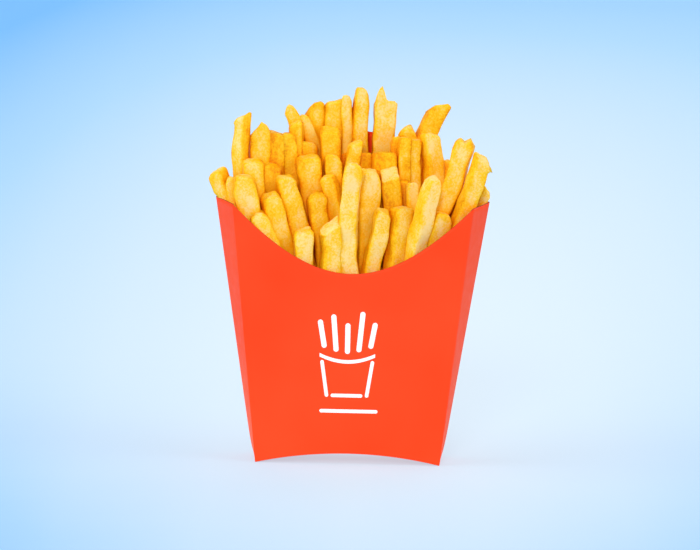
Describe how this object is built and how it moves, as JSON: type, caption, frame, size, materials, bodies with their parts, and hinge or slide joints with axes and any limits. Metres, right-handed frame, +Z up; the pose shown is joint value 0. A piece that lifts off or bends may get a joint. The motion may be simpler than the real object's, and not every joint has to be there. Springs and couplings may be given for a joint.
{
  "type": "french fries in a carton",
  "caption": "Tall potato fries standing upright in a folded red board carton with a scooped front, a domed back and creased side panels.",
  "frame": {"origin": "on the table, at the middle of the carton's footprint", "axes": "+X to the right of the scooped front, +Y from the front panel to the back panel, +Z up"},
  "size_m": [0.1258, 0.0503, 0.1675],
  "materials": {
    "carton_board": "satin",
    "fried_potato": "satin",
    "print_white": "satin"
  },
  "bodies": {
    "root": {"carton": "carton_board", "fries": "fried_potato"}
  },
  "joints": []
}
